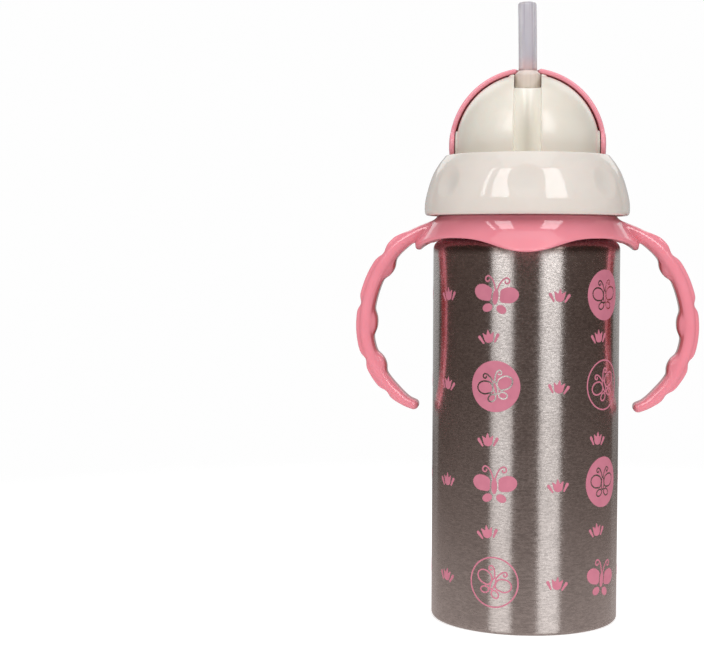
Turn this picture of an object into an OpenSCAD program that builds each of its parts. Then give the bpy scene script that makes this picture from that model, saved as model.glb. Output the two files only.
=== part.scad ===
// Straw sippy cup: vacuum steel bottle, clamped two-handle frame, screw ring,
// domed straw lid with a swinging hood and a folding silicone straw.
// Z is up, the origin is the centre of the base, the straw channel faces -Y.

/* [Bottle] */
// Outer radius of the straight steel wall
body_r = 31; // [30.4:0.1:31.2]
// Height where the straight wall meets the shoulder
wall_top = 123.2; // [122:0.1:123.4]
// Radius of the shoulder's bend, above the straight wall
shoulder_r = 3.2; // [2.6:0.1:3.2]
// Thickness of the outer steel wall
shell_t = 0.6; // [0.4:0.1:0.9]
// Thickness of the inner steel wall
liner_t = 0.5; // [0.4:0.1:0.7]
// Outer radius of the inner wall inside the body
liner_r = 27.8; // [27:0.1:28.6]
// Underside of the inner wall's floor
liner_z = 5; // [4:0.5:8]
// Outer radius of the threaded neck
neck_r = 26.6; // [26.5:0.05:26.65]

/* [Screw thread] */
// Rise of the thread for one full turn
lead = 4; // [3.6:0.2:4.4]
// Radial height of the neck thread
thread_h = 1.0; // [0.8:0.05:1.05]
// Number of steps that each turn of the thread is divided into
steps = 16; // [12:2:20]

/* [Handle frame] */
// Radius of the frame's bore over the neck
frame_bore = 27.9; // [27.8:0.05:28.1]
// Radius at the foot of the flared collar
flare_r = 36.9; // [36:0.1:37.5]
// Depth of the arms' centre rib, front to back
arm_depth = 12; // [9:0.5:14]
// Depth of the arms' scalloped flange
flange_depth = 8; // [5:0.5:9]
// Height of the waves along the collar's lower edge
wave_h = 4.2; // [2:0.2:5]

/* [Screw ring] */
// Radius of the opening that the dome stands in
ring_open = 26.65; // [26.6:0.05:26.9]
// Number of thumb dimples
dimples = 7; // [3:1:9]
// Radius of each dimple
dimple_r = 4.7; // [3:0.1:5.5]
// Depth of each dimple
dimple_d = 0.7; // [0.4:0.1:1]

/* [Lid] */
// Height of the hood's pivot axis
pivot_z = 157.6; // [157.4:0.1:158]
// Radius of the dome
dome_r = 23.7; // [23.3:0.1:23.8]
// Wall thickness of the dome
dome_t = 2; // [1.6:0.1:2.2]
// Inside radius of the hood
hood_in = 24.45; // [24.4:0.05:24.8]
// Outside radius of the hood
hood_out = 26.3; // [26:0.1:26.3]
// Width of the straw channel down the front of the dome
channel_w = 8.8; // [8.6:0.1:9.4]
// Radius of the hinge pins on the dome
pin_r = 2.2; // [1.8:0.1:2.6]
// Width of the straw notch in the hood's front edge
notch_w = 7.2; // [7:0.1:8]

/* [Straw] */
// Outside radius of the silicone straw
straw_r = 3.05; // [2.8:0.05:3.2]
// Radius of its hole
straw_hole = 1.75; // [1.4:0.05:2]
// Height of its top above the base
straw_top = 205; // [196:1:208]
// Lower end of the rigid inner tube
tube_low = 8; // [7:0.5:14]

/* [Hidden] */
$fn = 96;

steel = [0.62, 0.60, 0.58];
pink = [0.93, 0.45, 0.50];
cream = [0.93, 0.90, 0.83];
silicone = [0.80, 0.77, 0.78];

rim_z = 150;                       // top of the bottle's rim
seat_z = 134.4;                    // where the screw ring clamps the frame
ledge_z = 176.4;                   // lip at the top of the straw channel
neck_in = neck_r - shell_t;        // inside of the outer wall's neck
lean = 11.3;                       // slope of the channel floor from upright
collar_r = channel_w / 2 - 0.25;   // wide foot of the straw

// points of an arc in the (r, z) plane
function arc(c, r, a0, a1, n = 6) =
    [for (i = [0:n]) let (a = a0 + (a1 - a0) * i / n) [c[0] + r * cos(a), c[1] + r * sin(a)]];

// interrupted thread: short level segments that climb by lead / steps each
module thread(r_in, r_out, z0, turns, width) {
    for (k = [0 : round(steps * turns) - 1])
        translate([0, 0, z0 + lead * k / steps])
            rotate([0, 0, 360 * k / steps + 5])
                rotate_extrude(angle = 360 / steps - 3)
                    translate([r_in, -width / 2]) square([r_out - r_in, width]);
}

module outer_shell() color(steel) {
    rotate_extrude() polygon(concat(
        [[28.6, 0]],
        arc([29.8, 1.2], body_r - 29.8, -90, 0),
        arc([body_r - shoulder_r, wall_top], shoulder_r, 0, 70),
        [[neck_r, 128.2], [neck_r, rim_z - 0.5], [neck_in, rim_z - 0.5], [neck_in, 127.8]],
        [for (i = [0:5]) let (a = 70 - 14 * i)
            [body_r - shoulder_r + (shoulder_r - shell_t) * cos(a), wall_top + (shoulder_r - shell_t) * sin(a)]],
        [[body_r - shell_t, 2.1], [body_r - shell_t, 1.5], [29.6, 0.6], [28.6, 0.6]]));
    thread(neck_in + 0.3, neck_r + thread_h, 139.2, 1.25, 1.2);
}

module inner_liner() color([0.72, 0.71, 0.69])
    rotate_extrude() polygon(concat(
        [[0, liner_z]],
        arc([liner_r - 4, liner_z + 4], 4, -90, 0),
        [[liner_r, 116], [neck_in - 0.05, 121.5], [neck_in - 0.05, rim_z - 0.5],
         [neck_r, rim_z - 0.5], [neck_r, rim_z - 0.2], [neck_r - 0.2, rim_z],
         [neck_in - 0.05 - liner_t, rim_z], [neck_in - 0.05 - liner_t, 121.3],
         [liner_r - liner_t, 115.8]],
        arc([liner_r - 4, liner_z + 4], 4 - liner_t, 0, -90),
        [[0, liner_z + liner_t]]));

module base_plate() color([0.58, 0.56, 0.54]) difference() {
    union() {
        translate([0, 0, 1.5]) cylinder(r = body_r - shell_t, h = 0.6);
        translate([0, 0, 1.1]) cylinder(r = 22, h = 0.5);
    }
    translate([0, 0, 0.9]) cylinder(r = 7, h = 0.8);
    cylinder(r = 1.5, h = 5);
    translate([0, 0, 1.7]) cylinder(r = 21, h = 1);
}

module vacuum_seal() color([0.5, 0.5, 0.5]) {
    translate([0, 0, 1.2]) cylinder(r = 3.2, h = 0.5);
    translate([0, 0, 1.2]) cylinder(r = 1.45, h = 0.9);
}

module getter() color([0.4, 0.4, 0.42])
    translate([12, 0, 1.7]) difference() {
        cylinder(r = 4, h = 2);
        translate([0, 0, 1.4]) cylinder(r = 3.2, h = 2);
    }

// ---- handle frame --------------------------------------------------------
// centre line of one arm, from the collar to its free tip, in the (x, z) plane
arm_pts = [[31, 130.5], [36.3, 128.3], [40.4, 126.2], [43.8, 123.4], [46.6, 120], [49.2, 116],
           [51.3, 111.6], [52.8, 106.4], [53.7, 101], [53.8, 96], [53.1, 91], [51.7, 86.6],
           [49.7, 82.3], [46.8, 78.2], [43.1, 74.4], [39.7, 71.7], [37.2, 70.6]];
function mix(p, t) = let (n = len(p) - 1, i = min(floor(t * n), n - 1), u = t * n - i,
    a = p[max(i - 1, 0)], b = p[i], c = p[i + 1], d = p[min(i + 2, n)])
    0.5 * (2 * b + u * (c - a) + u * u * (2 * a - 5 * b + 4 * c - d) + u * u * u * (3 * b - a - 3 * c + d));
function normal_at(p, t) = let (q = mix(p, min(t + 0.004, 1)) - mix(p, max(t - 0.004, 0))) [-q[1], q[0]] / norm(q);
function bump(z, c, w) = exp(-pow((z - c) / w, 2));
// half width of the rib, and how far the flange stands out from it on each side
function rib_half(t) = 2.0 - 0.55 * pow(t, 3) + 0.2 * sin(180 * t);
function flange_out(t) = let (z = mix(arm_pts, t)[1])
    0.25 + (t < 0.06 ? 0 : 0.75 * (1 - bump(z, 120, 1.6)) * (1 - bump(z, 104.5, 1.6))
    * (1 - bump(z, 87, 1.6)) * (1 - bump(z, 76.5, 1.5))) * (1 - pow(t, 8));
function nub_in(t) = let (z = mix(arm_pts, t)[1])
    1.0 * (bump(z, 117.5, 1.3) + bump(z, 98.7, 1.3) + bump(z, 83.6, 1.3));

module arm_rib(n = 48) linear_extrude(height = arm_depth, center = true) {
    polygon(concat(
        [for (i = [0:n]) let (t = i / n) mix(arm_pts, t) + normal_at(arm_pts, t) * rib_half(t)],
        [for (i = [n:-1:0]) let (t = i / n) mix(arm_pts, t) - normal_at(arm_pts, t) * rib_half(t)]));
    translate(arm_pts[len(arm_pts) - 1]) circle(r = rib_half(1));
}
module arm_flange(n = 96) linear_extrude(height = flange_depth, center = true)
    polygon(concat(
        [for (i = [0:n]) let (t = i / n) mix(arm_pts, t) + normal_at(arm_pts, t) * (rib_half(t) + flange_out(t))],
        [for (i = [n:-1:0]) let (t = i / n) mix(arm_pts, t) - normal_at(arm_pts, t) * (rib_half(t) + nub_in(t))]));

module handle_frame() color(pink) union() {
    // flared collar, its lower edge cut into four waves
    difference() {
        rotate_extrude() polygon([
            [29.5, seat_z], [30.2, 133.4], [flare_r, 123.1], [flare_r, 122.4],
            [flare_r - 1, 122.0], [flare_r - 2.2, 122.0], [31.6, 127.2],
            [29.6, 130.4], [29.6, 127.3], [28.9, 126.5], [frame_bore, 127.3], [frame_bore, seat_z]]);
        for (a = [45, 135]) rotate([0, 0, a]) translate([0, 0, 122.7 + wave_h - 82.6])
            rotate([90, 0, 0]) cylinder(r = 82.6, h = 100, center = true, $fn = 180);
    }
    // arms
    for (s = [0, 1]) mirror([s, 0, 0]) rotate([90, 0, 0]) difference() {
        union() { arm_rib(); arm_flange(); }
        translate([0, 100, -20]) linear_extrude(height = 40) square([32.2, 100]);
    }
}

// ---- screw ring ----------------------------------------------------------
module cap_ring() color(cream) {
    difference() {
        rotate_extrude() polygon([
            [27.95, seat_z], [29.6, seat_z], [29.6, 146.5], [30.4, 145.6], [31.4, 142.6], [32.1, 139], [32.1, seat_z],
            [33.2, seat_z], [33.8, 134.9], [34.0, 135.7], [34.0, 136.7], [33.85, 138.7], [33.5, 140.7],
            [33.0, 142.7], [32.45, 144.8], [31.8, 146.8], [30.9, 148.8], [30.0, 150.8], [29.2, 151.8],
            [28.4, 152.8], [27.5, 153.8], [ring_open + 0.25, 154.4], [ring_open, 154.1], [ring_open, 152.3],
            [27.95, 152.3]]);
        for (i = [0 : dimples - 1]) rotate([0, 0, -93 + 360 * i / dimples])
            let (rs = (dimple_r * dimple_r + dimple_d * dimple_d) / (2 * dimple_d), e = 17)
            translate([32.4 + (rs - dimple_d) * cos(e), 0, 145 + (rs - dimple_d) * sin(e)]) sphere(r = rs, $fn = 128);
    }
    thread(neck_r + 0.3, 28.2, 137.2, 1, 1.2);
}

// ---- lid -----------------------------------------------------------------
// U shape open towards -Y, with its round end centred on the origin
module u_shape(r, reach = 45) polygon(concat([[-r, -reach], [r, -reach]], arc([0, 0], r, 0, 180, 16)));

// the straw channel, grown by g on every side but the top
module channel(g = 0) intersection() {
    translate([0, -4.5 - channel_w / 2, ledge_z]) rotate([-lean, 0, 0])
        translate([0, 0, -40]) linear_extrude(height = 50) u_shape(channel_w / 2 + g);
    translate([-20, -60, 153.4 - g]) cube([40, 80, ledge_z - 153.4 + g]);
}

// solid of the dome's outline, r mm in radius, standing on the lid's flange
module dome_solid(r, z0) rotate_extrude() polygon(concat(
    [[0, z0], [r, z0]], arc([0, pivot_z], r, 0, 90, 20)));

// pad with a crowned face and the hood's hinge pin on it
module hinge_pin() rotate_extrude() polygon([
    [0, 0], [5, 0], [5, hood_in - 22.2 - 0.85], [3.7, hood_in - 22.2 - 0.6], [pin_r, hood_in - 22.2 - 0.4],
    [pin_r, 3.2], [pin_r - 0.2, 3.4], [0, 3.4]]);

module straw_dome() color(cream) difference() {
    union() {
        // shell, flange and plug in one wall
        rotate_extrude() polygon(concat(
            [[23.4, 144], [25, 144], [25, 151], [27.6, 151], [27.6, 152.2], [dome_r, 152.2]],
            arc([0, pivot_z], dome_r, 0, 90, 20),
            arc([0, pivot_z], dome_r - dome_t, 90, 0, 20),
            [[dome_r - dome_t, 150.5], [23.4, 149]]));
        // trough behind the channel and straw socket
        intersection() {
            union() {
                channel(1.5);
                translate([0, 0, 168.5]) cylinder(r = 6, h = 20);
            }
            dome_solid(dome_r - 0.7, 151.2);
        }
        // raised rim round the straw
        intersection() {
            translate([0, 0, 175]) cylinder(r = 6.5, h = 20);
            dome_solid(hood_in - 0.3, 160);
        }
        // hinge pads and pins
        for (s = [-1, 1]) translate([s * 22.2, 0, pivot_z]) rotate([0, s * 90, 0]) hinge_pin();
    }
    channel();
    // the straw's collar stands on the ledge, open to the front
    translate([0, 0, ledge_z]) linear_extrude(height = 20) u_shape(channel_w / 2 + 0.05);
    translate([0, 0, 160]) cylinder(r = 3.5, h = 30);
    // seat of the vent valve, under the rear of the hood
    translate([0, 0, pivot_z]) rotate([-58, 0, 0]) {
        translate([0, 0, 15]) cylinder(r = 2, h = 20);
        translate([0, 0, 22.9]) cylinder(r = 3.2, h = 5);
    }
}

module lid_seal() color(silicone) translate([0, 0, rim_z]) difference() {
    cylinder(r = 27.4, h = 1);
    translate([0, 0, -1]) cylinder(r = 25.05, h = 3);
}

module vent_valve() color(silicone) translate([0, 0, pivot_z]) rotate([-58, 0, 0]) difference() {
    union() {
        translate([0, 0, 22.9]) cylinder(r = 3, h = 0.75);
        translate([0, 0, 20]) cylinder(r = 1.95, h = 3);
        translate([0, 0, 20.2]) cylinder(r = 3.2, h = 0.9);
    }
    translate([0, 0, 18]) cylinder(r = 0.5, h = 10);
}

module hood() color(pink) difference() {
    intersection() {
        translate([0, 0, pivot_z]) sphere(r = hood_out, $fn = 128);
        union() {
            translate([-40, 0, 153.4]) cube([80, 40, 60]);
            translate([-40, 0, pivot_z]) rotate([0, 90, 0]) cylinder(r = 4.9, h = 80);
        }
    }
    translate([0, 0, pivot_z]) sphere(r = hood_in, $fn = 128);
    translate([-25.75, 0, pivot_z]) rotate([0, 90, 0]) cylinder(r = pin_r + 0.08, h = 51.5);
    translate([0, 0.8, 170]) cylinder(r = notch_w / 2, h = 40);
    translate([-notch_w / 2, -10, 170]) cube([notch_w, 10.8, 40]);
}

module straw_tip() color(silicone) rotate_extrude() polygon([
    [straw_hole, ledge_z], [collar_r, ledge_z], [collar_r, 181.1], [collar_r - 0.25, 181.6],
    [straw_r + 0.15, 182.3], [straw_r, 182.8], [straw_r, straw_top - 0.5], [straw_r - 0.4, straw_top],
    [straw_hole + 0.2, straw_top], [straw_hole, straw_top - 0.3]]);

module straw_base() color(silicone) rotate_extrude() polygon([
    [straw_hole, ledge_z], [3.45, ledge_z], [3.45, 168.45], [5.6, 168.45], [5.6, 166.2], [4.6, 165.4],
    [4.6, 158], [3, 158], [3, 167.6], [straw_hole, 167.6]]);

module straw_tube() color([0.88, 0.87, 0.85]) difference() {
    translate([0, 0, tube_low]) cylinder(r = 2.95, h = 167.5 - tube_low);
    cylinder(r = 2.1, h = 200);
}

outer_shell();
inner_liner();
base_plate();
vacuum_seal();
getter();
handle_frame();
cap_ring();
straw_dome();
lid_seal();
hood();
straw_tip();
straw_base();
straw_tube();
vent_valve();
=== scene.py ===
import math

import bpy
import numpy as np
from mathutils import Matrix, Vector


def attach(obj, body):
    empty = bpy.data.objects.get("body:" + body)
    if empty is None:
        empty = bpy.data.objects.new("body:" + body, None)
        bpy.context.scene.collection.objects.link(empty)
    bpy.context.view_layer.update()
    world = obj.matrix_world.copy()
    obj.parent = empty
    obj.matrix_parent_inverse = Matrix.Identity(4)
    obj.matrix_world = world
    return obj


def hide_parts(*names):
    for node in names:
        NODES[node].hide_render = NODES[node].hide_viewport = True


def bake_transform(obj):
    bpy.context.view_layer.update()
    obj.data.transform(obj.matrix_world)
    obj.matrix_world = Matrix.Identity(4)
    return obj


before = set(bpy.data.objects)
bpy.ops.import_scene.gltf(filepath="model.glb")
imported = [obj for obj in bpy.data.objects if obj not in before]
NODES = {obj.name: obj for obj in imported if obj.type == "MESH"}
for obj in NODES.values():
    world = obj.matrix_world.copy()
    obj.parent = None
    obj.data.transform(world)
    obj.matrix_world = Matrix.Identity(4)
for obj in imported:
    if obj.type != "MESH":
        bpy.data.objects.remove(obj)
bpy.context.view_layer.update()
scene = bpy.context.scene
scene.view_settings.view_transform = "Standard"
scene.view_settings.look = "None"
MM = 0.001


# --------------------------------------------------------------------------
# camera: eye level with the top of the steel body, a long way to the left of
# the cup's own axis in the frame, so it is turned rather than shifted
# --------------------------------------------------------------------------
F_PX = 1604.0
cam_data = bpy.data.cameras.new("camera")
cam_data.sensor_width = 36.0
cam_data.lens = F_PX / 704.0 * 36.0
cam_data.clip_start = 0.01
cam = bpy.data.objects.new("camera", cam_data)
scene.collection.objects.link(cam)
scene.camera = cam
cam.location = (0.0, -0.540, 0.124)
yaw, pitch, roll = math.radians(6.186), math.radians(-2.873), math.radians(0.19)
cam.rotation_mode = "XYZ"
cam.matrix_world = (Matrix.Translation(cam.location)
                    @ Matrix.Rotation(yaw, 4, "Z")
                    @ Matrix.Rotation(math.radians(90) + pitch, 4, "X")
                    @ Matrix.Rotation(roll, 4, "Z"))


# --------------------------------------------------------------------------
# mesh helpers (millimetres in, metres out)
# --------------------------------------------------------------------------
def new_object(name, verts, faces, smooth=True):
    me = bpy.data.meshes.new(name)
    me.from_pydata([tuple(map(float, v)) for v in verts], [], [tuple(map(int, f)) for f in faces])
    me.validate()
    me.update()
    ob = bpy.data.objects.new(name, me)
    scene.collection.objects.link(ob)
    if smooth:
        me.polygons.foreach_set("use_smooth", [True] * len(me.polygons))
    return ob


def revolve(name, profile, n=192, closed=True):
    """Turns a closed (r, z) outline round Z. Points on the axis become one vertex."""
    prof = [tuple(p) for p in profile]
    verts, rings = [], []
    for r, z in prof:
        if r < 1e-6:
            rings.append([len(verts)] * n)
            verts.append((0, 0, z * MM))
        else:
            start = len(verts)
            for k in range(n):
                a = 2 * math.pi * k / n
                verts.append((r * math.cos(a) * MM, r * math.sin(a) * MM, z * MM))
            rings.append(list(range(start, start + n)))
    faces = []
    m = len(prof)
    for i in range(m if closed else m - 1):
        A, B = rings[i], rings[(i + 1) % m]
        for k in range(n):
            k2 = (k + 1) % n
            q = [A[k], A[k2], B[k2], B[k]]
            q = [v for j, v in enumerate(q) if v not in q[:j]]
            if len(q) >= 3:
                faces.append(q)
    ob = new_object(name, verts, faces)
    return ob


def smin(a, b, k):
    h = np.clip(0.5 + 0.5 * (b - a) / k, 0, 1)
    return b + (a - b) * h - k * h * (1 - h)


def smax(a, b, k):
    return -smin(-a, -b, k)


def surface(name, field, lo, hi, step, polish=3):
    """Mesh of field(x, y, z) = 0, negative inside, pulled onto the true surface."""
    ax = [np.arange(lo[i] - step, hi[i] + 2 * step, step, dtype=np.float32) for i in range(3)]
    X, Y, Z = np.meshgrid(*ax, indexing="ij", sparse=True)
    F = field(X, Y, Z).astype(np.float32)
    S = F < 0
    nx, ny, nz = F.shape
    cell_sum = np.zeros((nx - 1, ny - 1, nz - 1), np.int8)
    for i in (0, 1):
        for j in (0, 1):
            for k in (0, 1):
                cell_sum += S[i:nx - 1 + i, j:ny - 1 + j, k:nz - 1 + k]
    act = (cell_sum > 0) & (cell_sum < 8)
    idx = np.argwhere(act)
    pos = np.zeros((len(idx), 3), np.float64)
    cnt = np.zeros(len(idx))
    I, J, K = idx.T
    corners = [(i, j, k) for i in (0, 1) for j in (0, 1) for k in (0, 1)]
    vals = {c: F[I + c[0], J + c[1], K + c[2]] for c in corners}
    for c in corners:
        for axis in range(3):
            if c[axis]:
                continue
            d = list(c)
            d[axis] = 1
            a, b = vals[c], vals[tuple(d)]
            cross = (a < 0) != (b < 0)
            t = np.where(cross, a / np.where(a == b, 1, a - b), 0)
            p = np.stack([np.full(len(idx), float(c[m])) for m in range(3)], 1)
            p[:, axis] += t
            pos[cross] += p[cross]
            cnt[cross] += 1
    pos /= cnt[:, None]
    base = np.array([ax[0][0], ax[1][0], ax[2][0]])
    P = base + (idx + pos) * step
    num = np.full(act.shape, -1, np.int64)
    num[I, J, K] = np.arange(len(idx))
    faces = []
    for axis in range(3):
        o1, o2 = [(1, 2), (2, 0), (0, 1)][axis]
        sl_a = [slice(1, -1)] * 3
        sl_b = [slice(1, -1)] * 3
        sl_a[axis] = slice(0, -1)
        sl_b[axis] = slice(1, None)
        a, b = S[tuple(sl_a)], S[tuple(sl_b)]
        e = np.argwhere(a != b)
        inside_first = a[tuple(e.T)]
        g = e + 1
        g[:, axis] -= 1
        d1 = np.zeros(3, int)
        d1[o1] = 1
        d2 = np.zeros(3, int)
        d2[o2] = 1
        q = [num[tuple((g - m1 * d1 - m2 * d2).T)] for m1, m2 in ((1, 1), (0, 1), (0, 0), (1, 0))]
        q = np.stack(q, 1)
        q[~inside_first] = q[~inside_first][:, ::-1]
        faces.append(q)
    faces = np.concatenate(faces)
    h = step * 0.25
    for _ in range(polish):
        x, y, z = P.T
        f = field(x, y, z)
        g = np.stack([field(x + h, y, z) - field(x - h, y, z),
                      field(x, y + h, z) - field(x, y - h, z),
                      field(x, y, z + h) - field(x, y, z - h)], 1) / (2 * h)
        n2 = np.maximum((g * g).sum(1), 0.05)
        move = -(f / n2)[:, None] * g
        length = np.linalg.norm(move, axis=1)
        move *= np.minimum(1, step * 0.4 / np.maximum(length, 1e-9))[:, None]
        P = P + 0.8 * move
    me = bpy.data.meshes.new(name)
    me.from_pydata((P * MM).tolist(), [], faces.tolist())
    me.update()
    me.polygons.foreach_set("use_smooth", [True] * len(me.polygons))
    x, y, z = P.T
    g = np.stack([field(x + h, y, z) - field(x - h, y, z),
                  field(x, y + h, z) - field(x, y - h, z),
                  field(x, y, z + h) - field(x, y, z - h)], 1)
    g /= np.maximum(np.linalg.norm(g, axis=1), 1e-9)[:, None]
    ob = bpy.data.objects.new(name, me)
    scene.collection.objects.link(ob)
    return ob


# --------------------------------------------------------------------------
# handle frame: flared collar with a waved edge, two arms, all one moulding
# --------------------------------------------------------------------------
ARM = [(29.5, 131.3), (33.0, 129.9), (36.6, 128.3), (40.4, 126.1), (43.7, 123.3), (46.3, 120.0), (48.8, 116.2),
       (50.9, 111.8), (52.5, 106.6), (53.4, 101.2), (53.6, 96.0), (52.9, 91.0), (51.4, 86.6),
       (49.4, 82.3), (46.6, 78.3), (43.0, 74.6), (39.8, 72.0), (37.3, 70.9)]


def spline(points, per=14):
    p = np.array(points, float)
    n = len(p)
    out = []
    for i in range(n - 1):
        a, b, c, d = p[max(i - 1, 0)], p[i], p[i + 1], p[min(i + 2, n - 1)]
        for k in range(per):
            u = k / per
            out.append(0.5 * (2 * b + u * (c - a) + u * u * (2 * a - 5 * b + 4 * c - d) + u ** 3 * (3 * b - a - 3 * c + d)))
    out.append(p[-1])
    return np.array(out)


ARM_PATH = spline(ARM)
ARM_LEN = np.concatenate([[0], np.cumsum(np.linalg.norm(np.diff(ARM_PATH, axis=0), axis=1))])
ARM_Z = ARM_PATH[:, 1]


def arm_2d(x, z):
    """Signed side distance and position along the arm's centre line, for points in its plane."""
    shape = np.broadcast(x, z).shape
    xf = np.broadcast_to(x, shape).ravel().astype(np.float64)
    zf = np.broadcast_to(z, shape).ravel().astype(np.float64)
    best = np.full(xf.shape, 1e9)
    side = np.zeros(xf.shape)
    along = np.zeros(xf.shape)
    beyond = np.zeros(xf.shape)
    for i in range(len(ARM_PATH) - 1):
        a, b = ARM_PATH[i], ARM_PATH[i + 1]
        d = b - a
        L = math.hypot(*d)
        t = ((xf - a[0]) * d[0] + (zf - a[1]) * d[1]) / (L * L)
        tc = np.clip(t, 0, 1)
        px, pz = a[0] + d[0] * tc, a[1] + d[1] * tc
        dist = np.hypot(xf - px, zf - pz)
        m = dist < best
        best = np.where(m, dist, best)
        cr = (d[0] * (zf - a[1]) - d[1] * (xf - a[0])) / L
        side = np.where(m, cr, side)
        along = np.where(m, ARM_LEN[i] + L * tc, along)
        if i == len(ARM_PATH) - 2:
            beyond = np.where(m, (t - 1) * L, beyond)
    return side.reshape(shape), along.reshape(shape), best.reshape(shape), beyond.reshape(shape)


def bell(v, c, w):
    return np.exp(-((v - c) / w) ** 2)


def arm_widths(s):
    z = np.interp(s, ARM_LEN, ARM_Z)
    t = s / ARM_LEN[-1]
    rib = 1.75 + 0.35 * np.sin(np.pi * np.clip(t, 0, 1)) - 0.30 * t ** 4
    swell = np.clip((s - 9) / 5, 0, 1) * np.clip((ARM_LEN[-1] - s - 2) / 7, 0, 1)
    notch = bell(z, 120.6, 1.7) + bell(z, 104.6, 1.6) + bell(z, 86.9, 1.6) + bell(z, 76.6, 1.4)
    out = 0.10 + swell * (1.05 - 0.95 * np.clip(notch, 0, 1))
    inn = 0.10 + 0.3 * swell
    return rib, out, inn


def box_round(d2, dy, r):
    """Rounded prism from an in-plane distance and a distance past its face."""
    a, b = d2 + r, dy + r
    return np.minimum(np.maximum(a, b), 0) + np.hypot(np.maximum(a, 0), np.maximum(b, 0)) - r


def arm_field(x, y, z):
    ax = np.abs(x)
    if x.ndim == 3:      # grid: the in-plane part is the same on every y slice
        side, along, dist, beyond = arm_2d(ax[:, :, :], z)
    else:
        side, along, dist, beyond = arm_2d(ax, z)
    rib, out, inn = arm_widths(along)
    # the path runs down the outside, so the outer side is on its left
    lateral = side
    d_rib = np.where(beyond > 0, np.hypot(beyond, np.abs(lateral)) - rib, np.abs(lateral) - rib)
    hi, lo = rib + out, rib + inn
    d_fl = np.where(lateral > 0, lateral - hi, -lateral - lo)
    d_fl = np.where(beyond > 0, np.hypot(beyond, np.abs(lateral)) - rib - 0.1, d_fl)
    ya = np.abs(y)
    t = along / ARM_LEN[-1]
    depth = 5.7 - 1.1 * t
    rib3 = box_round(d_rib, ya - depth, 1.75)
    fl3 = box_round(d_fl, ya - (depth - 1.5), 0.75)
    body = smin(rib3, fl3, 0.5)
    # three finger nubs on the inside
    for nx, nz, ang, ln in ((45.9, 116.6, 122, 3.4), (51.25, 98.6, 92, 4.0), (48.5, 85.2, 65, 3.4)):
        ca, sa = math.cos(math.radians(ang)), math.sin(math.radians(ang))
        u = (ax - nx) * ca + (z - nz) * sa
        v = -(ax - nx) * sa + (z - nz) * ca
        d = (np.sqrt((u / ln) ** 2 + (v / 1.62) ** 2 + (np.clip(ya - 1.2, 0, None) / 2.6) ** 2) - 1) * 1.62
        body = smin(body, d, 1.0)
    return body


SEAT = 134.4


def flare(z, side):
    """Outside radius and slope of the collar: a trumpet in front, a straight cone at the wings."""
    u = np.clip((SEAT - z) / 11.2, 0, 1.25)
    trumpet = 29.5 + 11.2 * (0.08 * u + 1.28 * u ** 2.2 / 2.2)
    t_slope = 0.08 + 1.28 * u ** 1.2
    v = 0.5 * (u + 0.80 - np.sqrt((u - 0.80) ** 2 + 0.0016))
    wing = 29.5 + 9.7 * v - 1.2 * np.clip(u - 0.80, 0, None)
    w_slope = np.where(u < 0.8, 0.86, 0.0)
    return trumpet + (wing - trumpet) * side, t_slope + (w_slope - t_slope) * side


def collar_field(x, y, z):
    rho = np.sqrt(x * x + y * y)
    th = np.arctan2(x, -y)
    side = bell(np.abs(th) - math.pi / 2, 0.0, 0.58)
    radius, slope = flare(z, side)
    d_out = (rho - radius) / np.sqrt(1 + slope * slope)
    d_in = -(d_out + 2.3)
    z_low = 124.95 - 2.1 * np.cos(4 * th) - 0.35 * np.cos(8 * th) + 0.5 * side
    shell = smax(smax(d_out, d_in, 0.5), (z_low - z) * 0.97, 1.1)
    shell = smax(shell, z - SEAT, 0.3)
    sleeve = np.maximum(np.maximum(27.9 - rho, rho - 29.6), np.maximum(z - SEAT, 127.4 - z))
    return smin(shell, sleeve, 0.6)


def frame_field(x, y, z):
    g = collar_field(x, y, z)
    rho = np.sqrt(x * x + y * y)
    a = arm_field(x, y, z)
    a = smax(a, 28.6 - rho, 0.3)
    f = smin(g, a, 0.7)
    # nothing of the arm inside the neck's bore or above the seat
    f = np.maximum(f, 27.9 - rho)
    return smax(f, z - SEAT, 0.25)


moulding = surface("handle_moulding", frame_field, (-57.5, -38.2, 68.0), (57.5, 38.2, 135.0), 0.5)
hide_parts("handle_frame")
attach(moulding, "bottle")


# --------------------------------------------------------------------------
# steel body: drawn shell with a rolled foot, shoulder, neck and cut thread
# --------------------------------------------------------------------------
def arc(cx, cz, r, a0, a1, n):
    return [(cx + r * math.cos(math.radians(a0 + (a1 - a0) * i / n)),
             cz + r * math.sin(math.radians(a0 + (a1 - a0) * i / n))) for i in range(n + 1)]


def join(name, parts):
    """Joins meshes into the first object."""
    base = parts[0]
    verts, faces, mats = [], [], []
    for o in parts:
        off = len(verts)
        verts += [tuple(v.co) for v in o.data.vertices]
        faces += [[off + i for i in p.vertices] for p in o.data.polygons]
    for o in parts:
        me = o.data
        bpy.data.objects.remove(o)
        bpy.data.meshes.remove(me)
    return new_object(name, verts, faces)


def thread_ridge(name, r_in, r_out, z0, turns, lead, width, n_per=96, start=0.0):
    """One rounded helical ridge that fades out at both ends."""
    n = int(n_per * turns)
    verts, faces = [], []
    prof = [(0, -0.5), (0.45, -0.42), (0.85, -0.28), (1, -0.1), (1, 0.1), (0.85, 0.28), (0.45, 0.42), (0, 0.5)]
    for k in range(n + 1):
        a = start + 2 * math.pi * turns * k / n
        fade = min(1, k / (n * 0.06), (n - k) / (n * 0.06))
        fade = max(0.02, fade * fade * (3 - 2 * fade))
        for pr, pz in prof:
            r = r_in + (r_out - r_in) * pr * fade
            verts.append((r * math.cos(a) * MM, r * math.sin(a) * MM,
                          (z0 + lead * (a - start) / (2 * math.pi) + pz * width) * MM))
    m = len(prof)
    for k in range(n):
        for j in range(m):
            a, b = k * m + j, k * m + (j + 1) % m
            faces.append((a, b, b + m, a + m))
    faces.append(list(range(m))[::-1])
    faces.append([n * m + j for j in range(m)])
    return new_object(name, verts, faces)


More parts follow.
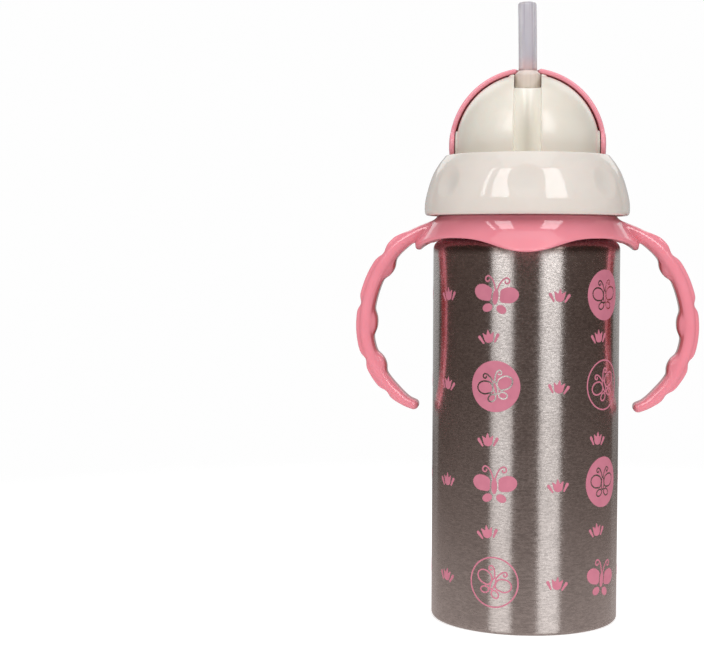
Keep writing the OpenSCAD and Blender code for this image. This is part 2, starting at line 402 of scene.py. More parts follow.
wall = [(31.0, z) for z in np.linspace(4.0, 121.0, 40)]
shell_outline = (
    [(28.75, 0.35), (28.85, 0.1), (29.1, 0.0)] + arc(29.8, 1.2, 1.2, -90, 0, 8) + [(31.0, 2.2)] + wall
    + [(31.0, 122.4)] + arc(27.8, 123.2, 3.2, 0, 70, 12)
    + [(28.2, 126.81), (27.4, 127.5), (26.9, 127.95), (26.68, 128.3), (26.6, 128.9)]
    + [(26.6, z) for z in (131, 134, 138, 142, 146, 148.6)] + [(26.55, 149.2), (26.35, 149.5), (26.05, 149.45)]
    + [(26.0, 148), (26.0, 127.9), (28.6, 125.7), (29.9, 124.3), (30.35, 122.8), (30.4, 121.0), (30.4, 20), (30.4, 3.0),
       (30.3, 1.6), (29.8, 0.95), (29.0, 0.8)])
steel = revolve("steel_body_shell", shell_outline, n=320)
ridge = thread_ridge("ridge", 26.3, 27.6, 139.2, 1.22, 4.0, 1.3, start=math.radians(8))
steel = join("steel_body", [steel, ridge])
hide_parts("outer_shell")
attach(steel, "bottle")


# --------------------------------------------------------------------------
# printed motifs: thin ink films wrapped round the steel
# --------------------------------------------------------------------------
def ellipse(u, v, cx, cy, a, b, deg=0.0):
    c, s = math.cos(math.radians(deg)), math.sin(math.radians(deg))
    x, y = (u - cx) * c + (v - cy) * s, -(u - cx) * s + (v - cy) * c
    k = np.sqrt((x / a) ** 2 + (y / b) ** 2)
    g = np.sqrt((x / a ** 2) ** 2 + (y / b ** 2) ** 2)
    return np.where(k < 1e-6, -min(a, b), k * (k - 1) / np.maximum(g, 1e-9))


def stroke(u, v, pts, w0, w1=None):
    w1 = w0 if w1 is None else w1
    out = np.full(u.shape, 1e9)
    n = len(pts) - 1
    for i in range(n):
        (x0, y0), (x1, y1) = pts[i], pts[i + 1]
        dx, dy = x1 - x0, y1 - y0
        t = np.clip(((u - x0) * dx + (v - y0) * dy) / max(dx * dx + dy * dy, 1e-9), 0, 1)
        w = w0 + (w1 - w0) * (i + t) / n
        out = np.minimum(out, np.hypot(u - x0 - dx * t, v - y0 - dy * t) - w)
    return out


def bezier(p0, p1, p2, p3, n=12):
    return [tuple((1 - t) ** 3 * np.array(p0) + 3 * t * (1 - t) ** 2 * np.array(p1)
                  + 3 * t * t * (1 - t) * np.array(p2) + t ** 3 * np.array(p3)) for t in np.linspace(0, 1, n)]


def curl(cx, cy, r0, a0, turn, n=14):
    return [(cx + r0 * (1 - 0.62 * k / n) * math.cos(a0 + turn * k / n),
             cy + r0 * (1 - 0.62 * k / n) * math.sin(a0 + turn * k / n)) for k in range(n + 1)]


def turned(u, v, deg):
    c, s = math.cos(math.radians(deg)), math.sin(math.radians(deg))
    return u * c + v * s, -u * s + v * c


def feelers(u, v, w):
    d = None
    for s in (-1, 1):
        stem = bezier((s * 0.35, 1.9), (s * 0.8, 3.6), (s * 1.6, 5.6), (s * 3.1, 5.9))
        tip = curl(s * 3.1, 4.75, 1.15, math.pi / 2, -s * 4.6)
        e = stroke(u, v, stem + tip[1:], w)
        d = e if d is None else np.minimum(d, e)
    return d


def wings(u, v, s):
    upper = smin(ellipse(u, v, s * 4.35, 0.5, 3.15, 2.55, s * 14), ellipse(u, v, s * 2.6, 0.1, 1.35, 2.1, s * -8), 0.9)
    lower = ellipse(u, v, s * 2.35, -4.25, 1.75, 1.3, s * -24)
    return upper, lower


def butterfly_solid(u, v, deg):
    u, v = turned(u, v, deg)
    d = ellipse(u, v, 0, -0.5, 0.98, 2.5)
    for s in (-1, 1):
        up, lo = wings(u, v, s)
        gap = 1.42 - s * u
        d = np.minimum(d, np.minimum(np.maximum(up, gap), lo))
    return np.minimum(d, feelers(u, v, 0.24))


def butterfly_line(u, v, deg, k=0.74, w=0.22):
    u, v = turned(u, v, deg)
    u, v = u / k, v / k
    d = np.abs(ellipse(u, v, 0, -0.6, 0.85, 2.5))
    for s in (-1, 1):
        up, lo = wings(u, v, s)
        up = np.maximum(up, 0.75 - s * u)
        d = np.minimum(d, np.minimum(np.abs(up), np.abs(lo)))
    d = np.minimum(d, feelers(u, v, 0.0))
    return d * k - w


def badge_solid(u, v, deg):
    return np.maximum(np.hypot(u, v) - 8.2, -butterfly_line(u, v, deg, 0.80, 0.25))


def badge_line(u, v, deg):
    return np.minimum(np.abs(np.hypot(u, v) - 8.0) - 0.24, butterfly_line(u, v, deg, 0.80, 0.23))


def tulip(u, v, deg):
    u, v = turned(u, v, deg)
    cup = ellipse(u, v, 0, -0.65, 1.55, 1.35)
    mid = stroke(u, v, [(0, -0.6), (0, 1.1), (0, 2.1)], 0.85, 0.12)
    d = smin(cup, mid, 0.2)
    for s in (-1, 1):
        d = smin(d, stroke(u, v, [(s * 0.6, -0.9), (s * 1.3, 0.4), (s * 1.85, 1.2)], 0.85, 0.14), 0.12)
        leaf = stroke(u, v, [(s * 1.95, -1.85), (s * 2.55, -0.85), (s * 3.2, 0.2)], 0.3, 0.52)
        leaf = np.minimum(leaf, stroke(u, v, [(s * 2.85, -0.4), (s * 3.3, 0.55)], 0.5, 0.12))
        d = np.minimum(d, leaf)
    return d


INK_R, INK_PITCH = 31.045, 0.2
_verts, _faces = [], []


def add_motif(shape, theta_deg, z, deg=0.0, half=9.0):
    """Marching squares over the motif's distance field, wrapped round the wall."""
    n = int(2 * half / INK_PITCH)
    g = (np.arange(n + 1) - n / 2) * INK_PITCH
    U, V = np.meshgrid(g, g, indexing="ij")
    D = shape(U, V, deg)
    D = np.where(np.abs(D) < 1e-4, 1e-4, D)
    inside = D < 0
    ids = {}
    base_theta = math.radians(theta_deg)

    def vert(key, u, v):
        if key not in ids:
            ids[key] = len(_verts)
            a = base_theta + u / INK_R
            _verts.append((INK_R * math.sin(a) * MM, -INK_R * math.cos(a) * MM, (z + v) * MM))
        return ids[key]

    some = inside[:-1, :-1] | inside[1:, :-1] | inside[1:, 1:] | inside[:-1, 1:]
    for i, j in np.argwhere(some):
        i, j = int(i), int(j)
        ring = [(i, j), (i + 1, j), (i + 1, j + 1), (i, j + 1)]
        poly = []
        for k in range(4):
            a, b = ring[k], ring[(k + 1) % 4]
            if inside[a]:
                poly.append(vert(a, g[a[0]], g[a[1]]))
            if inside[a] != inside[b]:
                t = D[a] / (D[a] - D[b])
                u = g[a[0]] + (g[b[0]] - g[a[0]]) * t
                v = g[a[1]] + (g[b[1]] - g[a[1]]) * t
                poly.append(vert((min(a, b), max(a, b)), u, v))
        if len(poly) >= 3:
            _faces.append(poly)


COLS = {
    "A": [(butterfly_solid, 108.7, -6), (tulip, 95.5, 8), (badge_solid, 79.7, 14), (tulip, 62.5, 4),
          (butterfly_solid, 48.2, 0), (tulip, 32.9, 10), (badge_line, 16.8, -22)],
    "B": [(tulip, 108.7, -4), (tulip, 79.7, -6), (tulip, 48.2, 4), (tulip, 16.8, -6)],
    "C": [(badge_solid, 108.7, 2), (tulip, 95.5, 4), (badge_line, 79.7, 24), (tulip, 62.5, -4),
          (badge_solid, 48.2, 0), (tulip, 32.9, 4), (butterfly_solid, 16.8, -8)],
    "D": [(tulip, 108.7, 4), (tulip, 79.7, -6), (tulip, 48.2, 2), (tulip, 16.8, -6)],
}
for k, (theta, col) in enumerate([(-17.9, "A"), (20.2, "B"), (54.4, "C"), (90.4, "D"), (126.4, "A"),
                                  (162.4, "B"), (198.4, "C"), (234.4, "D"), (270.4, "B"), (306.4, "D")]):
    for shape, z, deg in COLS[col]:
        small = shape is tulip
        shift = {"A": -4.3, "C": -5.4}.get(col, 0.0) if small else 0.0
        add_motif(shape, theta + shift, z, deg, half=3.8 if small else 9.0)
ink = new_object("printed_motifs", _verts, _faces)
film = ink.modifiers.new("film", "SOLIDIFY")
film.thickness = 0.06 * MM
film.offset = -1
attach(ink, "bottle")


# --------------------------------------------------------------------------
# screw ring: domed cream skirt with seven thumb dimples
# --------------------------------------------------------------------------
def curve_through(points, step):
    p = np.array(points, float)
    seg = np.linalg.norm(np.diff(p, axis=0), axis=1)
    out = []
    n = len(p)
    for i in range(n - 1):
        a, b, c, d = p[max(i - 1, 0)], p[i], p[i + 1], p[min(i + 2, n - 1)]
        m = max(1, int(round(seg[i] / step)))
        for k in range(m):
            t = k / m
            out.append(tuple(0.5 * (2 * b + t * (c - a) + t * t * (2 * a - 5 * b + 4 * c - d)
                                    + t ** 3 * (3 * b - a - 3 * c + d))))
    out.append(tuple(p[-1]))
    return out


RING_OUT = [(33.95, 135.6), (34.0, 136.6), (33.88, 138.7), (33.53, 140.7), (33.03, 142.7), (32.45, 144.8),
            (31.75, 146.8), (30.9, 148.8), (29.85, 150.6), (29.15, 151.7), (28.35, 152.75), (27.6, 153.65)]
ring_profile = ([(32.4, 134.45), (33.0, 134.4), (33.4, 134.5), (33.7, 134.8), (33.86, 135.2)]
                + curve_through(RING_OUT, 0.45)
                + [(27.35, 154.0), (27.1, 154.28), (26.9, 154.34), (26.74, 154.2), (26.66, 153.9), (26.65, 153.3),
                   (26.65, 152.4), (26.8, 152.3), (27.8, 152.3), (27.95, 152.2), (27.95, 150), (27.95, 142),
                   (27.95, 135), (28.1, 134.5), (28.4, 134.4), (29.3, 134.4), (29.55, 134.6), (29.6, 135.2),
                   (29.6, 146.3), (29.8, 146.6), (30.2, 146.0), (30.5, 145.4), (31.4, 142.6), (32.05, 139.2),
                   (32.1, 136), (32.12, 134.8)])
ring = revolve("ring_body", ring_profile, n=448)
sphere_r = (4.7 ** 2 + 0.7 ** 2) / (2 * 0.7)
me = ring.data
co = np.empty(len(me.vertices) * 3)
me.vertices.foreach_get("co", co)
co = co.reshape(-1, 3) / MM
rad = np.hypot(co[:, 0], co[:, 1])
outer = (rad > np.interp(co[:, 2], [134.4, 139, 142.6, 145.6, 154.4], [32.6, 32.6, 32.0, 30.9, 26.0]))
for i in range(7):
    a = math.radians(-90.5 + 360 * i / 7)
    c = np.array([32.42 * math.cos(a), 32.42 * math.sin(a), 145.0])
    nrm = np.array([math.cos(math.radians(17)) * math.cos(a), math.cos(math.radians(17)) * math.sin(a),
                    math.sin(math.radians(17))])
    d = co - c
    along = d @ nrm
    off = np.linalg.norm(d - along[:, None] * nrm, axis=1)
    # depth of a shallow spherical dish with a soft lip
    q = np.clip(off / 5.8, 0, 1)
    dish = 0.75 * (1 - q ** 2) ** 1.45
    m = outer & (np.abs(along) < 4) & (off < 5.8) & (d @ np.array([math.cos(a), math.sin(a), 0]) > -6)
    co[m] -= dish[m, None] * nrm
me.vertices.foreach_set("co", (co * MM).ravel())
me.update()
ridge = thread_ridge("ring_ridge", 28.2, 26.95, 137.2, 1.0, 4.0, 1.2, start=math.radians(8))
ring = join("screw_ring", [ring, ridge])
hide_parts("cap_ring")
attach(ring, "screw_ring")


# --------------------------------------------------------------------------
# dome lid with the straw channel, hinge pins and sealing plug
# --------------------------------------------------------------------------
PIVOT, LEDGE = 157.6, 176.4
LEAN = math.radians(11.3)


def u_prism(x, y, r):
    """Distance to a slot of half width r, round towards +Y and open towards -Y."""
    return np.where(y > 0, np.hypot(x, y), np.abs(x)) - r


def channel_field(x, y, z, g=0.0):
    yy = y + 4.5 + 4.4
    zz = z - LEDGE
    yl = yy * math.cos(LEAN) - zz * math.sin(LEAN)
    d = u_prism(x, yl, 4.4 + g)
    return smax(smax(d, z - LEDGE - 0.0, 0.15), 153.4 - g - z, 0.3)


def dome_field(x, y, z):
    rho = np.sqrt(x * x + y * y)
    dz = z - PIVOT
    R = np.sqrt(rho * rho + dz * dz)
    Rd = np.where(dz > 0, R, rho)           # hemisphere on a short straight skirt
    skirt = np.maximum(Rd - 23.7, 151.6 - z)
    flange = smax(smax(rho - 27.5, 151.05 - z, 0.2), z - 152.2, 0.2)
    plug = smax(rho - 24.95, 144.05 - z, 0.3)
    plug = np.maximum(plug, z - 151.6)
    d = np.minimum(np.minimum(skirt, smin(flange, skirt, 0.5)), plug)
    inner = np.maximum(Rd - 21.7, 148.0 - z)
    inner = np.minimum(inner, np.maximum(rho - 23.35, z - 150.0))
    d = np.maximum(d, -inner)
    # trough behind the channel, and the straw's socket, both inside the dome
    trough = channel_field(x, y, z, 1.5)
    socket = np.maximum(rho - 6, 168.5 - z)
    ins = np.maximum(smin(trough, socket, 0.5), np.maximum(Rd - 23.0, 151.2 - z))
    d = np.minimum(d, ins)
    # raised rim round the straw
    rim = smax(np.maximum(rho - 6.3, 170 - z), R - 24.1, 0.35)
    d = smin(d, rim, 0.25)
    # hinge pads and pins
    ax = np.abs(x)
    q = np.sqrt(y * y + dz * dz)
    pad = smax(q - 5.0, np.maximum(ax - 23.75 - np.clip(0.35 * (1 - q / 5.0), 0, 0.35), 20.5 - ax), 0.25)
    pin = smax(q - 2.2, np.maximum(ax - 25.55, 20.5 - ax), 0.2)
    d = np.minimum(d, np.minimum(pad, pin))
    # cut the channel, the straw's seat and its hole
    d = smax(d, -channel_field(x, y, z), 0.30)
    seat = np.maximum(u_prism(x, y, 4.45), LEDGE - z)
    d = smax(d, -seat, 0.25)
    d = np.maximum(d, -np.maximum(rho - 3.5, 160 - z))
    # vent valve seat on the rear slope, under the hood
    ca, sa = math.cos(math.radians(58)), math.sin(math.radians(58))
    along = y * sa + dz * ca
    across = np.sqrt(x * x + (y * ca - dz * sa) ** 2)
    d = np.maximum(d, -np.maximum(across - 2.0, 15 - along))
    d = np.maximum(d, -np.maximum(across - 3.2, 22.9 - along))
    return d


dome = surface("dome_lid", dome_field, (-28, -28, 143.5), (28, 28, 182.6), 0.34)
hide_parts("straw_dome")
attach(dome, "lid")


def hood_field(x, y, z):
    dz = z - PIVOT
    R = np.sqrt(x * x + y * y + dz * dz)
    ax = np.abs(x)
    ball = R - 26.02
    front = -y
    low = 153.45 - z
    # rounded front rim: the shell's edge is a half round
    band = smax(front, low, 0.8)
    ear = np.hypot(y, dz) - 4.85
    keep = smin(band, ear, 0.9)
    d = smax(smax(ball, keep, 0.75), 24.45 - R, 0.55)
    notch = np.where(y > 0.8, np.hypot(x, y - 0.8), np.abs(x)) - 3.6
    notch = np.maximum(notch, 165 - z)
    d = smax(d, -notch, 0.9)
    bore = np.maximum(np.hypot(y, dz) - 2.28, ax - 25.75)
    return np.maximum(d, -bore)


hood = surface("swing_hood", hood_field, (-26.6, -5.2, 152.4), (26.6, 26.6, 184.2), 0.34)
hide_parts("hood")
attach(hood, "hood_cover")


# --------------------------------------------------------------------------
# silicone straw, one tube that bends where the hood folds it down
# --------------------------------------------------------------------------
straw_outline = ([(1.75, LEDGE + 0.02), (4.15, LEDGE + 0.02), (4.32, LEDGE + 0.2)]
                 + [(4.36, z) for z in np.arange(176.9, 180.8, 0.5)]
                 + [(4.33, 181.05), (4.2, 181.4), (3.9, 181.75), (3.5, 182.05), (3.2, 182.4), (3.08, 182.9)]
                 + [(3.05, z) for z in np.arange(183.4, 204.0, 0.5)]
                 + [(3.04, 204.3), (2.95, 204.65), (2.75, 204.92), (2.45, 205.0), (2.15, 204.97), (1.92, 204.8),
                    (1.78, 204.5)] + [(1.75, z) for z in np.arange(204.0, 176.6, -0.5)])
straw = revolve("flex_straw", straw_outline, n=96)
for v in straw.data.vertices:
    up = max(0.0, v.co.z - 0.1825)
    v.co.x -= 0.011 * up + 0.25 * up * up
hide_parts("straw_tip")
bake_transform(straw)


# --------------------------------------------------------------------------
# materials
# --------------------------------------------------------------------------
class Nodes:
    def __init__(self, name):
        self.mat = bpy.data.materials.new(name)
        self.mat.use_nodes = True
        self.nt = self.mat.node_tree
        self.bsdf = self.nt.nodes["Principled BSDF"]
        self.coord = self.nt.nodes.new("ShaderNodeTexCoord").outputs["Object"]

    def node(self, kind, **kw):
        n = self.nt.nodes.new(kind)
        for k, v in kw.items():
            setattr(n, k, v)
        return n

    def link(self, a, b):
        self.nt.links.new(a, b)

    def scaled(self, sx, sy, sz):
        n = self.node("ShaderNodeVectorMath", operation="MULTIPLY")
        n.inputs[1].default_value = (sx, sy, sz)
        self.link(self.coord, n.inputs[0])
        return n.outputs[0]

    def noise(self, vec, scale=1.0, detail=2.0, rough=0.5):
        n = self.node("ShaderNodeTexNoise")
        n.inputs["Scale"].default_value = scale
        n.inputs["Detail"].default_value = detail
        n.inputs["Roughness"].default_value = rough
        self.link(vec, n.inputs["Vector"])
        return n.outputs["Fac"]

    def ramp(self, fac, stops):
        n = self.node("ShaderNodeValToRGB")
        el = n.color_ramp.elements
        while len(el) < len(stops):
            el.new(0.5)
        for e, (p, c) in zip(el, stops):
            e.position = p
            e.color = tuple(c) + (1,) if len(c) == 3 else c
        self.link(fac, n.inputs["Fac"])
        return n.outputs["Color"]

    def remap(self, fac, a, b, lo=0.0, hi=1.0):
        n = self.node("ShaderNodeMapRange")
        n.inputs["From Min"].default_value = lo
        n.inputs["From Max"].default_value = hi
        n.inputs["To Min"].default_value = a
        n.inputs["To Max"].default_value = b
        self.link(fac, n.inputs["Value"])
        return n.outputs["Result"]

    def math(self, op, a, b):
        n = self.node("ShaderNodeMath", operation=op)
        for i, v in enumerate((a, b)):
            if isinstance(v, (int, float)):
                n.inputs[i].default_value = v
            else:
                self.link(v, n.inputs[i])
        return n.outputs[0]

    def bump(self, height, strength, distance, after=None):
        n = self.node("ShaderNodeBump")
        n.inputs["Strength"].default_value = strength
        n.inputs["Distance"].default_value = distance
        self.link(height, n.inputs["Height"])
        if after is not None:
            self.link(after, n.inputs["Normal"])
        return n.outputs["Normal"]

    def z(self):
        n = self.node("ShaderNodeSeparateXYZ")
        self.link(self.coord, n.inputs[0])
        return n.outputs["Z"]


def plastic(name, stops, rough=(0.14, 0.22), sss=0.12, radius=(0.004, 0.002, 0.0015), ior=1.49, patch=55.0,
            coat=0.0, peel=0.35, spec=0.5):
    m = Nodes(name)
    cloud = m.noise(m.scaled(1, 1, 1), patch, 3.0, 0.55)
    m.link(m.ramp(cloud, stops), m.bsdf.inputs["Base Color"])
    fine = m.noise(m.scaled(1, 1, 1), 900.0, 2.0, 0.5)
    m.link(m.remap(fine, rough[0], rough[1], 0.3, 0.7), m.bsdf.inputs["Roughness"])
    skin = m.noise(m.scaled(1, 1, 1), 260.0, 1.0, 0.4)
    m.link(m.bump(fine, 0.10 * peel, 0.0001, m.bump(skin, 0.35 * peel, 0.0002)), m.bsdf.inputs["Normal"])
    m.bsdf.inputs["IOR"].default_value = ior
    m.bsdf.inputs["Specular IOR Level"].default_value = spec
    if sss:
        m.bsdf.inputs["Subsurface Weight"].default_value = sss
        m.bsdf.inputs["Subsurface Radius"].default_value = radius
        m.bsdf.inputs["Subsurface Scale"].default_value = 1.0
    if coat:
        m.bsdf.inputs["Coat Weight"].default_value = coat
        m.bsdf.inputs["Coat Roughness"].default_value = 0.05
    return m.mat


def brushed(name, base, rough=0.33, aniso=0.75, tangent="RADIAL", grain=1.0, tilt=0.25, variation=0.12, shade=None):
    m = Nodes(name)
    b = m.bsdf
    b.inputs["Metallic"].default_value = 1.0
    if tangent:
        t = m.node("ShaderNodeTangent", direction_type="RADIAL", axis="Z")
        m.link(t.outputs[0], b.inputs["Tangent"])
        b.inputs["Anisotropic"].default_value = aniso
        b.inputs["Anisotropic Rotation"].default_value = tilt
    lines = m.noise(m.scaled(500, 500, 2600), 1.0, 2.5, 0.6)       # short scratches round the body
    speck = m.noise(m.scaled(1250, 1250, 2300), 1.0, 2.5, 0.7)     # sparkle of the blasted grain
    cloud = m.noise(m.scaled(1, 1, 1), 38.0, 3.0, 0.5)             # slow change of tone
    k = m.math("ADD", m.math("MULTIPLY", lines, 0.55), m.math("MULTIPLY", speck, 0.45))
    dark = [c * (1 - variation) for c in base]
    light = [min(1, c * (1 + variation)) for c in base]
    col = m.ramp(m.remap(k, 0, 1, 0.40, 0.60), [(0, dark), (1, light)])
    mix = m.node("ShaderNodeMix", data_type="RGBA", blend_type="MULTIPLY")
    mix.inputs[0].default_value = 1.0
    m.link(col, mix.inputs[6])
    m.link(m.ramp(cloud, [(0.3, (0.93, 0.92, 0.91)), (0.7, (1, 1, 1))]), mix.inputs[7])
    tone = mix.outputs[2]
    # painted shade: the steel's colour is darkened on the shoulder under the collar, from shade[0] to shade[1]; painted
    # light: it is lightened over the upper wall, rising over the 22 mm below shade[0]
    if shade:
        painted_shade_band = m.node("ShaderNodeMix", data_type="RGBA", blend_type="MULTIPLY")
        m.link(m.remap(m.z(), 0.0, 1.0, shade[0], shade[1]), painted_shade_band.inputs[0])
        m.link(tone, painted_shade_band.inputs[6])
        painted_shade_band.inputs[7].default_value = (0.42, 0.36, 0.34, 1)
        painted_light_band = m.node("ShaderNodeMix", data_type="RGBA", blend_type="MULTIPLY")
        m.link(m.remap(m.z(), 0.0, 1.0, shade[0] - 0.022, shade[0]), painted_light_band.inputs[0])
        m.link(painted_shade_band.outputs[2], painted_light_band.inputs[6])
        painted_light_band.inputs[7].default_value = (1.13, 1.13, 1.13, 1)
        tone = painted_light_band.outputs[2]
    m.link(tone, b.inputs["Base Color"])
    m.link(m.remap(speck, rough - 0.05, rough + 0.05, 0.3, 0.7), b.inputs["Roughness"])
    m.link(m.bump(lines, 0.16 * grain, 0.00006, m.bump(speck, 0.30 * grain, 0.00006)), b.inputs["Normal"])
    return m.mat


def paint(ob, mat):
    ob.data.materials.clear()
    ob.data.materials.append(mat)


mat_ring = plastic("cream_gloss", [(0.3, (0.765, 0.695, 0.64)), (0.7, (0.82, 0.75, 0.695))], rough=(0.055, 0.10), sss=0.20, peel=0.10)
mat_dome = plastic("cream_satin", [(0.3, (0.785, 0.725, 0.64)), (0.7, (0.845, 0.785, 0.70))], rough=(0.20, 0.25), sss=0.2,
                   peel=0.12)
mat_pink = plastic("pink_gloss", [(0.3, (0.865, 0.275, 0.335)), (0.7, (0.915, 0.305, 0.37))], rough=(0.05, 0.09),
                   sss=0.16, peel=0.08, spec=0.7)
mat_hood = plastic("pink_hood", [(0.3, (0.89, 0.32, 0.39)), (0.7, (0.94, 0.36, 0.43))], rough=(0.18, 0.26),
                   sss=0.16, peel=0.3)
mat_steel = brushed("brushed_steel_body", (0.66, 0.62, 0.60), rough=0.245, aniso=0.97, variation=0.19,
                    shade=(0.1216, 0.1232))
mat_ink = plastic("pink_ink", [(0.3, (0.58, 0.18, 0.258)), (0.7, (0.64, 0.21, 0.29))], rough=(0.42, 0.55), sss=0.0,
                  patch=320.0, peel=0.8, spec=0.35)

# Painted light: faces of the dome inside its outer sphere, mostly the recessed straw channel, get a lighter cream base
# colour.
def paint_channel_light(mat):
    nt = mat.node_tree
    bsdf = nt.nodes["Principled BSDF"]
    src = bsdf.inputs["Base Color"].links[0].from_socket
    co_ = nt.nodes.new("ShaderNodeTexCoord")
    sub = nt.nodes.new("ShaderNodeVectorMath")
    sub.operation = "SUBTRACT"
    sub.inputs[1].default_value = (0, 0, PIVOT * MM)
    nt.links.new(co_.outputs["Object"], sub.inputs[0])
    ln = nt.nodes.new("ShaderNodeVectorMath")
    ln.operation = "LENGTH"
    nt.links.new(sub.outputs[0], ln.inputs[0])
    mr = nt.nodes.new("ShaderNodeMapRange")
    mr.inputs["From Min"].default_value, mr.inputs["From Max"].default_value = 0.0236, 0.0228
    nt.links.new(ln.outputs["Value"], mr.inputs["Value"])
    mx = nt.nodes.new("ShaderNodeMix")
    mx.data_type = "RGBA"
    nt.links.new(mr.outputs["Result"], mx.inputs[0])
    nt.links.new(src, mx.inputs[6])
    mx.inputs[7].default_value = (0.99, 0.945, 0.87, 1)
    nt.links.new(mx.outputs[2], bsdf.inputs["Base Color"])


paint_channel_light(mat_dome)


def shade_inside(mat):
    """Painted shade: a deeper, darker pink on the side of the arms that faces the bottle, where light bounces off pink.
    """
    nt = mat.node_tree
    bsdf = nt.nodes["Principled BSDF"]
    src = bsdf.inputs["Base Color"].links[0].from_socket
    co_ = nt.nodes.new("ShaderNodeTexCoord")

    def x_of(socket):
        sep = nt.nodes.new("ShaderNodeSeparateXYZ")
        nt.links.new(socket, sep.inputs[0])
        return sep.outputs["X"]

    def op(kind, a, b=None):
        n_ = nt.nodes.new("ShaderNodeMath")
        n_.operation = kind
        nt.links.new(a, n_.inputs[0])
        if b is not None:
            nt.links.new(b, n_.inputs[1])
        return n_.outputs[0]

    def span(value, a, b):
        n_ = nt.nodes.new("ShaderNodeMapRange")
        n_.inputs["From Min"].default_value, n_.inputs["From Max"].default_value = a, b
        nt.links.new(value, n_.inputs["Value"])
        return n_.outputs["Result"]

    x = x_of(co_.outputs["Object"])
    facing = op("MULTIPLY", x_of(co_.outputs["Normal"]), op("SIGN", x))
    fac = op("MULTIPLY", span(facing, -0.74, -0.90), span(op("ABSOLUTE", x), 0.0355, 0.0385))
    mx = nt.nodes.new("ShaderNodeMix")
    mx.data_type = "RGBA"
    mx.blend_type = "MULTIPLY"
    nt.links.new(fac, mx.inputs[0])
    nt.links.new(src, mx.inputs[6])
    mx.inputs[7].default_value = (0.60, 0.27, 0.25, 1)
    nt.links.new(mx.outputs[2], bsdf.inputs["Base Color"])


shade_inside(mat_pink)
paint(moulding, mat_pink)
paint(hood, mat_hood)
paint(ring, mat_ring)
paint(dome, mat_dome)
paint(steel, mat_steel)
paint(ink, mat_ink)


def soft_clear(name, base, rough, transmission, sss=0.3):
    m = Nodes(name)
    b = m.bsdf
    cloud = m.noise(m.scaled(1, 1, 1), 120.0, 2.0, 0.5)
    m.link(m.ramp(cloud, [(0.3, [c * 0.96 for c in base]), (0.7, base)]), b.inputs["Base Color"])
    fine = m.noise(m.scaled(1, 1, 1), 700.0, 2.0, 0.5)
    m.link(m.remap(fine, rough - 0.05, rough + 0.05, 0.3, 0.7), b.inputs["Roughness"])
    m.link(m.bump(fine, 0.06, 0.0001), b.inputs["Normal"])
    b.inputs["IOR"].default_value = 1.41
    b.inputs["Transmission Weight"].default_value = transmission
    if sss:
        b.inputs["Subsurface Weight"].default_value = sss
        b.inputs["Subsurface Radius"].default_value = (0.003, 0.0025, 0.002)
        b.inputs["Subsurface Scale"].default_value = 1.0
    return m.mat


def straw_material(name, rough, transmission):
    m = Nodes(name)
    b = m.bsdf
    streaked = m.node("ShaderNodeMix", data_type="RGBA", blend_type="MULTIPLY")
    streaked.inputs[0].default_value = 1.0 if transmission > 0.5 else 0.2
    zc = m.remap(m.z(), 0.0, 1.0, 0.1775, 0.1875)
    m.link(m.ramp(zc, [(0.0, (0.84, 0.74, 0.65)), (0.40, (0.86, 0.74, 0.68)), (0.60, (0.96, 0.79, 0.79)),
                       (0.85, (0.90, 0.81, 0.84)), (1.0, (0.87, 0.84, 0.88))]), streaked.inputs[6])
    painted_refraction_lines = m.noise(m.scaled(1300, 1300, 18), 1.0, 1.5, 0.5)        # painted streaks along the tube, standing in for light refracted in its wall
    m.link(m.ramp(painted_refraction_lines, [(0.34, (0.74, 0.74, 0.76)), (0.52, (1.0, 1.0, 1.0))]), streaked.inputs[7])
    m.link(streaked.outputs[2], b.inputs["Base Color"])
    fine = m.noise(m.scaled(1, 1, 1), 700.0, 2.0, 0.5)
    m.link(m.remap(fine, rough, rough + 0.05, 0.3, 0.7), b.inputs["Roughness"])
    m.link(m.bump(fine, 0.05, 0.0001), b.inputs["Normal"])
    b.inputs["IOR"].default_value = 1.38
    b.inputs["Transmission Weight"].default_value = transmission
    b.inputs["Subsurface Weight"].default_value = 0.3
    b.inputs["Subsurface Radius"].default_value = (0.003, 0.0025, 0.002)
    b.inputs["Subsurface Scale"].default_value = 1.0
    return m.mat


mat_straw = straw_material("straw_silicone", 0.05, 0.72)
mat_foot = straw_material("straw_foot", 0.14, 0.15)
mat_seal = soft_clear("seal_silicone", (0.82, 0.78, 0.72), 0.38, 0.25)
mat_clear = soft_clear("clear_tube", (0.90, 0.90, 0.88), 0.16, 0.7, 0.15)
paint(straw, mat_straw)
straw.data.materials.append(mat_foot)
for poly in straw.data.polygons:
    poly.material_index = 1 if poly.center.z < 0.1823 else 0
for node, mat in (
        ("lid_seal", mat_seal), ("vent_valve", mat_seal), ("straw_base", mat_straw), ("straw_tube", mat_clear),
        ("inner_liner", brushed("liner_steel", (0.70, 0.68, 0.66), rough=0.28, aniso=0.6, variation=0.06)),
        ("base_plate", brushed("base_steel", (0.60, 0.57, 0.55), rough=0.36, aniso=0.7, tilt=0.0, variation=0.10)),
        ("vacuum_seal", brushed("seal_metal", (0.36, 0.35, 0.35), rough=0.42, aniso=0.0, tangent=None)),
        ("getter", brushed("getter_metal", (0.22, 0.21, 0.22), rough=0.55, aniso=0.0, tangent=None))):
    paint(NODES[node], mat)


